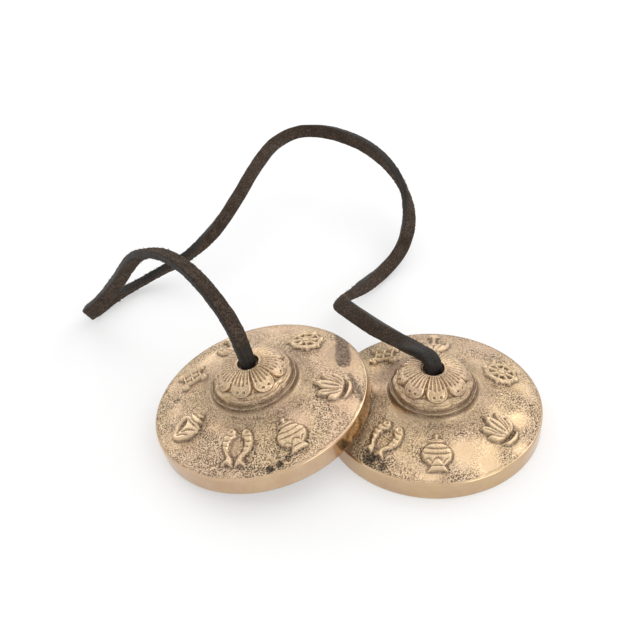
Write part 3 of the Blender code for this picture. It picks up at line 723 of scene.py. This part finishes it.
def lotus():
    flower = [
        (0, 5.6), (0, 5.6), (1.4, 3.8), (1.8, 2.3), (1.8, 2.3), (2.7, 3.5), (4.0, 4.0), (4.0, 4.0),
        (4.1, 2.1), (3.5, 0.4), (3.5, 0.4), (4.2, 0.7), (5.0, 0.7), (5.0, 0.7), (4.5, -1.4), (2.8, -2.8),
        (0, -3.2),
    ]
    leaf = [(0, -4.2), (1.9, -4.0), (3.6, -3.4), (3.6, -3.4), (2.4, -4.9), (0, -5.6)]
    lines = both_sides([
        bend((1.8, 2.3), (1.8, -0.4), (0.4, -3.0)), bend((3.5, 0.4), (2.8, -1.8), (1.0, -3.0)),
        bend((3.3, 2.9), (2.6, 0.4), (1.4, -1.6)),
    ])
    flower = drawn(mirrored(flower)[1:-1] + [(0, 5.6)])
    return [flower, drawn(mirrored(leaf))], lines + [[(0, 3.4), (0, -1.6)]]


EMBLEMS = (wheel, parasol, endless_knot, conch, pair_of_fish, treasure_vase, lotus)


def nearest(x, y, lines):
    """How far each place is from the nearest line."""
    least = np.full_like(x, 99.0)
    for points in lines:
        for (ax, ay), (bx, by) in zip(points, points[1:]):
            length = max((bx - ax) ** 2 + (by - ay) ** 2, 1e-9)
            share = np.clip(((x - ax) * (bx - ax) + (y - ay) * (by - ay)) / length, 0, 1)
            least = np.minimum(least, np.hypot(x - ax - share * (bx - ax), y - ay - share * (by - ay)))
    return least


def eased(share):
    """0 to 1 with soft ends."""
    share = np.clip(share, 0, 1)
    return share * share * (3 - 2 * share)


def emblem_relief(x, y, emblem):
    """Height of an emblem over the brim, at places given in its own axes."""
    edges, lines = emblem()
    closed = [edge + edge[:1] for edge in edges]
    inside = np.zeros(x.shape, bool)
    for points in closed:
        for (ax, ay), (bx, by) in zip(points, points[1:]):
            if ay != by:
                crossed = (ay > y) != (by > y)
                inside ^= crossed & (x < (bx - ax) * (y - ay) / (by - ay) + ax)
    depth = nearest(x, y, closed) * np.where(inside, 1, -1)
    rise = eased((depth + 0.3) / 0.75)
    carved = LINE_DEPTH * np.exp(-(nearest(x, y, lines) / 0.24) ** 2) * eased(depth / 0.5 + 0.3)
    return EMBLEM_RELIEF * rise + EMBLEM_CROWN * eased(depth / 1.4) - carved


def stretch(points, spacing):
    """Points a set distance apart along straight runs through the given ones, without the last."""
    found = []
    for (ax, ay), (bx, by) in zip(points, points[1:]):
        steps = max(1, round(hypot(bx - ax, by - ay) / spacing))
        for step in range(steps):
            found.append((ax + (bx - ax) * step / steps, ay + (by - ay) * step / steps))
    return found


def rounded(points, steps):
    """A smooth outline through (radius, height) points, without the last."""
    line = smooth_line([Vector((r, 0, z)) for r, z in points], steps)
    return [(spot.x, spot.z) for spot in line[:-1]]


def brim_height(radius):
    """Height of the cone between the rim and the boss."""
    return RIM_HEIGHT + BRIM_RISE * (REST_RADIUS - radius) / (REST_RADIUS - FOOT_RADIUS)


def casting_profile():
    """The turned outline from the flat ring over the top and back inside, zone by zone."""
    dome = []
    for step in range(37):
        arc = DOME_ARC * (1 - step / 36)
        across = MOUTH_RADIUS + (PETAL_RADIUS - MOUTH_RADIUS) * sin(arc)
        dome.append((across, DOME_BASE + DOME_RISE * cos(arc)))
    cup = []
    for turn in range(18, 90, 18):
        cup.append((BORE_RADIUS + 7.5 * sin(radians(turn)), 10.5 + 6.5 * cos(radians(turn))))
    return [
        ("rim", [(32.0, 0), (32.35, 0.1), (32.48, 0.4)]),
        ("rim", stretch([(RIM_RADIUS, 0.8), (RIM_RADIUS, 5.2)], 0.75)),
        ("rim", rounded([(RIM_RADIUS, 5.2), (32.42, 5.65), (32.2, 5.92), (31.85, brim_height(31.85))], 2)),
        ("brim", stretch([(31.85, brim_height(31.85)), (29.0, brim_height(29.0))], 0.33)),
        ("brim", stretch([(29.0, brim_height(29.0)), (17.0, brim_height(17.0))], 0.215)),
        ("neck", rounded([
            (17.0, brim_height(17.0)), (16.2, 10.34), (15.65, 10.46), (15.4, 10.62), (15.1, 10.66),
            (14.5, 10.82), (13.9, 11.12), (13.4, 11.55), (13.08, 12.1), (12.9, 12.7), (12.88, 13.15),
            (12.74, 13.42), (12.5, 13.46), (12.28, 13.22), (12.02, 13.3), (11.85, 13.75),
        ], 2)),
        ("bead", rounded([
            (11.85, 13.75), (11.8, 14.3), (11.68, 14.8), (11.4, 15.08), (11.05, 15.05), (10.8, 15.12),
            (10.6, 15.45), dome[0],
        ], 2)),
        ("dome", dome[:-1]),
        ("mouth", rounded([(MOUTH_RADIUS, 20.0), (3.28, 19.93), (3.14, 19.72), (BORE_RADIUS, 19.4)], 2)),
        ("inside", stretch([(BORE_RADIUS, 19.4), (BORE_RADIUS, 17.0)], 1.2) + [(BORE_RADIUS, 17.0)] + cup),
        ("inside", [(10.6, 8.4), (10.98, 7.48), (11.9, 7.1)]),
        ("inside", stretch([(11.9, 7.1), (28.55, 3.4)], 4.2)[1:]),
        ("inside", [(28.55, 3.4), (29.1, 2.9), (29.2, 2.3), (29.2, 0.2), (29.4, 0)]),
    ]


def petal_relief(angle, radius, reach):
    """Relief of the lotus: reach is the distance in from the petals' tips, along the dome."""
    pitch = tau / PETALS
    offset = (angle + pitch / 2) % pitch - pitch / 2
    share = offset / (pitch / 2)
    half = radius * pitch / 2
    x = offset * radius
    tip = 3.2    # the length of a petal's round end
    round_end = half * (1 - np.sqrt((x / half) ** 2 + (np.clip(tip - reach, 0, None) / tip) ** 2))
    inside = np.where(reach < tip, round_end, half - np.abs(x))
    near_end = 1 - eased((reach - 3.0) / 3.5)
    # The cut between the petals is deepest round their ends, and a bead runs along it there.
    relief = -(0.16 + 0.44 * near_end) * (1 - eased(inside / 0.6))
    relief += 0.20 * np.exp(-((inside - 0.85) / 0.22) ** 2) * near_end
    # Five ribs run up each petal.
    rib_start = 3.1 + 1.3 * np.abs(share) ** 1.5
    window = eased((reach - rib_start) / 1.0) * eased((10.1 - reach) / 1.0)
    ribs = 0.5 * np.cos(pi * 5 * share) - 0.35
    relief += 0.40 * window * ribs * np.clip(half / 2.4, 0.45, 1)
    # Two ringed dots are punched in each end.
    for side in (-1, 1):
        dot = np.hypot(x - side * 1.0, reach - 1.95)
        relief += 0.08 * np.exp(-((dot - 0.62) / 0.16) ** 2) - 0.4 * np.exp(-(dot / 0.36) ** 2)
    return relief


def patches(x, y, spots):
    """How strongly the listed round patches cover each place, from 0 to 1."""
    cover = np.zeros_like(x)
    for turn, radius, reach, strength in spots:
        gap = np.hypot(x - radius * cos(radians(turn)), y - radius * sin(radians(turn)))
        cover = np.maximum(cover, strength * eased(1.25 - gap / reach))
    return cover


def softened(grid, reaches):
    """A grid averaged with its neighbours, round the casting and along its profile."""
    for axis, spans in ((1, reaches), (0, reaches)):
        total = grid.copy()
        for span in range(1, spans + 1):
            total = total + np.roll(grid, span, axis) + np.roll(grid, -span, axis)
        grid = total / (2 * spans + 1)
    return grid


def by_zone(zones, shares):
    """One number for each ring of the casting, by the zone that it is in."""
    return np.array([shares.get(zone, 0.0) for zone in zones])[:, None]


def uneven_skin(flat_x, flat_y, height, zones, seed):
    """The swells, lumps and sand marks at each point of the outer side, each about -1 to 1."""
    marks = np.zeros((3,) + flat_x.shape)
    for ring in np.nonzero(zones != "inside")[0]:
        for step in range(SEGMENTS):
            spot = Vector((flat_x[ring, step], flat_y[ring, step], height[ring, step] + 40 * seed))
            marks[0, ring, step] = noise.noise(spot * SWELLS)
            marks[1, ring, step] = noise.noise(spot * LUMPS)
            fine = noise.noise(spot * SAND_MARKS[1])
            marks[2, ring, step] = noise.noise(spot * SAND_MARKS[0]) + 0.6 * fine
    return marks


def emblem_heights(x, y, lumps):
    """The seven emblems' height at points of the brim, their edges a little unsteady, as cast."""
    heights = np.zeros_like(x)
    for turn, emblem in zip(EMBLEM_TURNS, EMBLEMS):
        way = radians(turn)
        away = x * cos(way) + y * sin(way) - EMBLEM_RADIUS
        aside = y * cos(way) - x * sin(way)
        near = np.hypot(away, aside) < EMBLEM_REACH
        wander = 0.10 * lumps[near]
        heights[near] = np.maximum(heights[near], emblem_relief(aside[near] + wander, -away[near], emblem))
    return heights


def scallop_shares(profile, zones):
    """How far each ring of the boss is drawn in between the petals, as a share of the full depth."""
    shares = by_zone(zones, {"bead": 1.0})[:, 0]
    in_dome = zones == "dome"
    shares[in_dome] = (1 - np.arange(in_dome.sum()) / in_dome.sum()) ** 2
    shares[np.nonzero(zones == "bead")[0][:4]] = (0.45, 0.6, 0.8, 0.95)
    in_neck = zones == "neck"
    shares[in_neck] = 0.4 * eased((profile[in_neck, 1] - 12.3) / 1.0)
    return shares


def casting(side, seed, placing):
    """One cymbal's mesh. It tells its material how much patina and painted shade each point has, and how
    proud, sandy and black it is.
    """
    zones = np.array([zone for zone, points in casting_profile() for _ in points])
    profile = np.array([point for _, points in casting_profile() for point in points])
    slope = np.roll(profile, -1, 0) - np.roll(profile, 1, 0)
    slope /= np.linalg.norm(slope, axis=1)[:, None]
    angle = tau * np.arange(SEGMENTS) / SEGMENTS - pi / 2
    radius = np.repeat(profile[:, :1], SEGMENTS, 1)
    height = np.repeat(profile[:, 1:], SEGMENTS, 1)
    flat_x = radius * np.cos(angle)
    flat_y = radius * np.sin(angle)
    swells, lumps, sand = uneven_skin(flat_x, flat_y, height, zones, seed)

    # The emblems on the brim, the turned line and the lotus.
    relief = np.zeros_like(radius)
    on_emblem = np.zeros_like(radius)
    brim = np.isin(zones, ["brim", "neck"])
    relief[brim] = emblem_heights(flat_x[brim], flat_y[brim], lumps[brim])
    on_emblem[brim] = eased(relief[brim] / EMBLEM_RELIEF)
    rim_line = np.exp(-((radius - RIM_LINE[0]) / RIM_LINE[1]) ** 2) * (height > 5.5)
    rim_line *= by_zone(zones, {"brim": 1.0, "rim": 0.5})
    relief -= RIM_LINE[2] * rim_line
    run = np.concatenate([[0], np.cumsum(np.linalg.norm(np.diff(profile, axis=0), axis=1))])
    reach = (run - run[int(np.argmax(zones == "dome"))])[:, None] + 0.6
    lotus_zone = np.isin(zones, ["dome", "mouth"])
    carved = petal_relief(angle[None, :], radius, np.repeat(reach, SEGMENTS, 1))
    relief[lotus_zone] = carved[lotus_zone] * eased((radius[lotus_zone] - BORE_RADIUS - 0.3) / 0.9)
    pitch = tau / PETALS
    share = np.abs((angle + pitch / 2) % pitch - pitch / 2) / (pitch / 2)
    radius -= scallop_shares(profile, zones)[:, None] * SCALLOP_DEPTH * share[None, :] ** 4

    # What the sand left, less where it is worn and on the emblems, and more in the black patches.
    black = patches(flat_x, flat_y, BLACK_PATCHES[side])
    black *= by_zone(zones, {"brim": 1.0, "neck": 0.8, "rim": 0.15})
    worn = patches(flat_x, flat_y, WORN_PATCHES[side]) * by_zone(zones, {"brim": 1.0, "neck": 0.6})
    sand_left = np.where(by_zone(zones, {"neck": 1.0}) * (height > 11.3), 0.35, by_zone(zones, SAND_LEFT))
    sandy = sand_left * np.clip(0.88 + 0.9 * swells - 0.95 * worn + 0.5 * black, 0.1, 1)
    sandy *= 1 - 0.55 * on_emblem
    relief += (SWELL_HEIGHT * sand_left + by_zone(zones, {"rim": RIM_SWELL_HEIGHT})) * swells
    relief += (LUMP_HEIGHT * lumps + SAND_HEIGHT * sand) * sandy - BLACK_DEPTH * black * eased(sand * 2)
    radius += relief * slope[:, 1:]
    height -= relief * slope[:, :1]

    # Patina stays in what is hollow: below the points close by, and below those a few millimetres off.
    close = softened(relief, 2)
    wide = softened(softened(close, 3), 3)
    sharpness = 1 + by_zone(zones, SHARPNESS)
    tarnish_and_shade = np.clip((close - relief - 0.01) / 0.15 * sharpness, 0, 1)
    tarnish_and_shade += 0.25 * np.clip((wide - relief) / 0.35, 0, 1) + rim_line * np.clip(0.5 + lumps, 0, 1)
    tarnish_and_shade = np.clip(tarnish_and_shade, 0, 1) + by_zone(zones, ZONE_PATINA_AND_SHADE)
    # The brim is darker towards the foot of the boss, painted shade darkens the neck under its flange, and
    # the roof of the cup is painted black as shade.
    tarnish_and_shade += by_zone(zones, {"neck": 0.55}) * eased((height - 11.2) / 1.2)
    tarnish_and_shade += by_zone(zones, {"brim": 0.40}) * eased((20.0 - radius) / 4.0)
    groove = np.exp(-((profile[:, :1] - 12.18) / 0.17) ** 2) * (profile[:, 1:] > 13)
    tarnish_and_shade += by_zone(zones, {"neck": 0.4}) * groove
    # Painted shade: the roof of the cup is black.
    tarnish_and_shade[(zones == "inside") & (profile[:, 0] < 11) & (profile[:, 1] > 8.3)] = 1.0
    tarnish_and_shade = np.clip(tarnish_and_shade, 0, 1)
    # The dark streaks go over the rest: on the left casting, painted shade of the thong.
    for line, half_width, strength in STREAKS_AND_PAINTED_SHADE[side]:
        inward = half_width - nearest(flat_x, flat_y, [line]) + 0.5 * lumps + 0.3 * sand
        dark = strength * eased(inward / 0.8 + 0.5) * (1.15 - 0.8 * np.clip(sand, -0.6, 0.6))
        tarnish_and_shade = np.maximum(tarnish_and_shade, dark * by_zone(zones, {"brim": 1.0, "neck": 1.0}))

    # Handling keeps bright what stands proud, and the edges of the flange and of the bead over it.
    flange_edge = np.exp(-((profile[:, :1] - 12.72) / 0.16) ** 2) * (profile[:, 1:] > 13)
    bead_edge = np.exp(-((profile[:, 1:] - 15.0) / 0.2) ** 2)
    arris = by_zone(zones, {"neck": 0.8}) * flange_edge + by_zone(zones, {"bead": 0.8}) * bead_edge
    proud = np.clip((relief - wide) / 0.3 * sharpness, 0, 1)
    proud = np.clip(proud + arris * np.clip(0.55 + 1.5 * lumps, 0, 1), 0, 1)

    points = np.stack([radius * np.cos(angle), radius * np.sin(angle), height], 2) * MM
    ring, step = np.meshgrid(np.arange(len(profile)), np.arange(SEGMENTS), indexing="ij")
    next_ring = (ring + 1) % len(profile)
    next_step = (step + 1) % SEGMENTS
    corners = np.stack([
        ring * SEGMENTS + step, ring * SEGMENTS + next_step,
        next_ring * SEGMENTS + next_step, next_ring * SEGMENTS + step,
    ], 2).reshape(-1, 4)
    mesh = bpy.data.meshes.new("casting_" + side)
    mesh.from_pydata(points.reshape(-1, 3).tolist(), [], corners.tolist())
    mesh.transform(placing)
    for name, values in (("tarnish_and_shade", tarnish_and_shade), ("proud", proud), ("sandy", sandy), ("black", black)):
        float_attribute(mesh, name, values)
    mesh.shade_smooth()
    return mesh


def cast_bell_bronze():
    """Cast bell bronze, copper with a fifth of tin, which makes it a pale tan gold. It is glossy where it
    was turned or worn, and matt and grainy where the sand left it, with brown oxide in its hollows. Painted
    shade darkens it down the bore, in the cup, under the flange and in a band across the left brim, and its
    pale grains are lightened to near white as painted glints."""
    material, tree, shader = new_material("cast_bell_bronze")
    place = add_node(tree, "TexCoord", {}, "Object")
    tarnish_and_shade, proud, sandy, black = [
        add_node(tree, "Attribute", {}, "Fac", attribute_name=name)
        for name in ("tarnish_and_shade", "proud", "sandy", "black")
    ]
    # Moulding sand is 0.1 to 0.3 mm, too fine for the picture: its grain is drawn 0.45 mm apart and
    # its pits 0.52 mm. The oxide is cloudy over 6.5 mm, and the alloy's tint over 15 mm.
    grain, cloudy, tint = [
        add_node(
            tree, "TexNoise", {"Vector": place, "Scale": per(apart), "Detail": detail, "Roughness": rough},
        )
        for apart, detail, rough in ((0.45, 2, 0.7), (6.5, 3, 0.6), (15.0, 2, 0.5))
    ]
    pit_middles = add_node(tree, "TexVoronoi", {"Vector": place, "Scale": per(0.52)})
    spread = {}
    for name, source, low, high, at_low, at_high in (
        ("pit size", cloudy, 0.38, 0.60, 0.20, 0.38), ("grit", grain, 0.475, 0.42, 0, 1),
        ("pale_grain_and_glint", grain, 0.52, 0.60, 0, 1), ("tarnish_and_shade_part", grain, 0.25, 0.62, 1, 0.65),
        ("tan", tint, 0.40, 0.60, 0, 1), ("pale", cloudy, 0.35, 0.65, 0, 0.35),
        ("rough", sandy, 0.1, 0.7, 0.15, 0.38),
    ):
        inputs = {"Value": source, "From Min": low, "From Max": high, "To Min": at_low, "To Max": at_high}
        spread[name] = add_node(tree, "MapRange", inputs)

    # Pits are larger in sandy and black places. Black blots take over where black is strong.
    size = add_node(tree, "Math", {0: spread["pit size"], 1: sandy}, operation="MULTIPLY")
    larger = add_node(tree, "Math", {0: black, 1: 0.2}, operation="MULTIPLY")
    size = add_node(tree, "Math", {0: size, 1: larger}, operation="ADD")
    past_edge = add_node(tree, "Math", {0: pit_middles, 1: size}, operation="SUBTRACT")
    pit = add_node(tree, "MapRange", {"Value": past_edge, "From Min": 0.03, "From Max": -0.04})
    ragged = add_node(tree, "Math", {0: grain, 1: 0.72}, operation="SUBTRACT")
    ragged = add_node(tree, "Math", {0: black, 1: ragged}, operation="ADD")
    blot = add_node(tree, "MapRange", {"Value": ragged, "From Min": 0.66, "From Max": 0.80})
    grit = add_node(tree, "Math", {0: spread["grit"], 1: sandy}, operation="MULTIPLY")
    # Pale grains in sandy places, lightened to near white as painted glints.
    pale_grain_and_glint = add_node(tree, "Math", {0: spread["pale_grain_and_glint"], 1: sandy}, operation="MULTIPLY")
    # Patina together with painted shade, broken up by the grain.
    tarnish_and_shade_part = add_node(tree, "Math", {0: tarnish_and_shade, 1: spread["tarnish_and_shade_part"]}, operation="MULTIPLY")

    bare = {"Factor": spread["tan"], "A": linear("c7a88b"), "B": linear("caad87")}
    colour = add_node(tree, "Mix", bare, data_type="RGBA")
    for cover, most, code in (
        (spread["pale"], 1.0, "dcc4a5"), (grit, 0.85, "65513f"), (pale_grain_and_glint, 0.55, "f2e0c6"),
        (tarnish_and_shade_part, 0.85, "4d3d35"), (pit, 0.85, "33291f"), (blot, 1.0, "1e1a19"), (proud, 0.45, "e3caa6"),
    ):
        part = add_node(tree, "Math", {0: cover, 1: most}, operation="MULTIPLY", use_clamp=True)
        colour = add_node(tree, "Mix", {"Factor": part, "A": colour, "B": linear(code)}, data_type="RGBA")

    # Oxide, and the painted shade carried with the patina, are duller and less metallic than bare bronze.
    dull_and_shaded = blot
    for cover, most in ((tarnish_and_shade_part, 0.45), (pit, 0.5)):
        part = add_node(tree, "Math", {0: cover, 1: most}, operation="MULTIPLY")
        dull_and_shaded = add_node(tree, "Math", {0: dull_and_shaded, 1: part}, operation="MAXIMUM")
    metallic = add_node(tree, "MapRange", {"Value": dull_and_shaded, "To Min": 1.0, "To Max": 0.45})
    duller = add_node(tree, "Math", {0: dull_and_shaded, 1: 0.25}, operation="MULTIPLY")
    rough = add_node(tree, "Math", {0: spread["rough"], 1: duller}, operation="ADD", use_clamp=True)

    # The grain stands up where sandy, and pits and blots sink in.
    grain_rise = add_node(tree, "Math", {0: sandy, 1: 3.0}, operation="MULTIPLY")
    grain_rise = add_node(tree, "Math", {0: grain, 1: grain_rise}, operation="MULTIPLY")
    sunk = add_node(tree, "Math", {0: pit, 1: blot}, operation="MAXIMUM")
    rise = add_node(tree, "Math", {0: grain_rise, 1: sunk}, operation="SUBTRACT")
    bump = add_node(tree, "Bump", {"Height": rise, "Distance": 0.12 * MM, "Strength": 1.0})
    for socket, source in (
        ("Base Color", colour), ("Metallic", metallic), ("Roughness", rough), ("Normal", bump),
    ):
        tree.links.new(source, shader[socket])
    return material


bronze = cast_bell_bronze()
for side, seed in (("left", 1.0), ("right", 12.0)):
    placing = placings[side] @ Matrix.Rotation(CASTING_TURNS[side], 4, "Z")
    shell = add_object("bronze_cymbal_" + side, casting(side, seed, placing))
    shell.data.materials.append(bronze)
    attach(shell, "cymbal_" + side)
    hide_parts("cymbal_" + side)

# The pair lies on plain white paper in a white room. The main light is a large soft box high on the
# right, with a small brighter one in it, and two weaker ones fill in from the back left and the front
# right, so the bronze has broad soft reflections and the shadows stay faint.

FLOOR_SIZE = 6.0
FLOOR_GLOW = 0.45             # the share of the paper's white that no shadow darkens, as it is seen
ROOM_LIGHT = 0.76             # of the white room, on what lies in it
LAMP_AIM = Vector((0, 0.03, 0))
LAMPS = (                     # place and size in metres, and watts
    ("key", (0.55, 0.40, 0.85), (1.5, 1.5), 4.0),
    ("key_core", (0.60, 0.30, 0.62), (0.35, 0.35), 0.5),
    ("back_fill", (-0.50, 0.80, 0.45), (0.8, 0.6), 2.2),
    ("front_fill", (0.60, -0.65, 0.40), (0.5, 0.5), 1.4),
)


def seen_surroundings(tree):
    """1 for rays from the camera, metal or glass, which show the surroundings, and 0 for others."""
    rays = add_node(tree, "LightPath", {}).node.outputs
    shown = rays["Is Camera Ray"]
    for ray in ("Is Glossy Ray", "Is Transmission Ray"):
        shown = add_node(tree, "Math", {0: shown, 1: rays[ray]}, operation="MAXIMUM")
    return shown


def white_paper_sweep():
    """Matt white paper, which keeps the pair's soft shadow and shows as white."""
    material, tree, shader = new_material("white_paper_sweep")
    shader["Base Color"].default_value = linear("fcfcfc")
    shader["Roughness"].default_value = 0.9
    glow = add_node(tree, "Emission", {"Color": linear("ffffff"), "Strength": 1.0})
    share = add_node(tree, "Math", {0: seen_surroundings(tree), 1: FLOOR_GLOW}, operation="MULTIPLY")
    paper = add_node(tree, "MixShader", {0: share, 1: shader["Base Color"].node.outputs[0], 2: glow})
    tree.links.new(paper, tree.nodes["Material Output"].inputs["Surface"])
    return material


half = FLOOR_SIZE / 2
floor_corners = [(-half, -half, 0), (half, -half, 0), (half, half, 0), (-half, half, 0)]
floor_mesh = bpy.data.meshes.new("floor")
floor_mesh.from_pydata(floor_corners, [], [(0, 1, 2, 3)])
floor_mesh.materials.append(white_paper_sweep())
add_object("floor", floor_mesh)

room = bpy.data.worlds.new("white_room")
room.use_nodes = True
tree = room.node_tree
light = {"Value": seen_surroundings(tree), "To Min": ROOM_LIGHT, "To Max": 1.0}
tree.links.new(add_node(tree, "MapRange", light), tree.nodes["Background"].inputs["Strength"])
tree.nodes["Background"].inputs["Color"].default_value = linear("ffffff")
bpy.context.scene.world = room

for name, place, (width, height), power in LAMPS:
    soft_box = bpy.data.lights.new(name, "AREA")
    soft_box.shape = "RECTANGLE"
    soft_box.size = width
    soft_box.size_y = height
    soft_box.energy = power
    lamp = add_object(name, soft_box)
    lamp.location = place
    lamp.rotation_euler = (LAMP_AIM - Vector(place)).to_track_quat("-Z", "Y").to_euler()
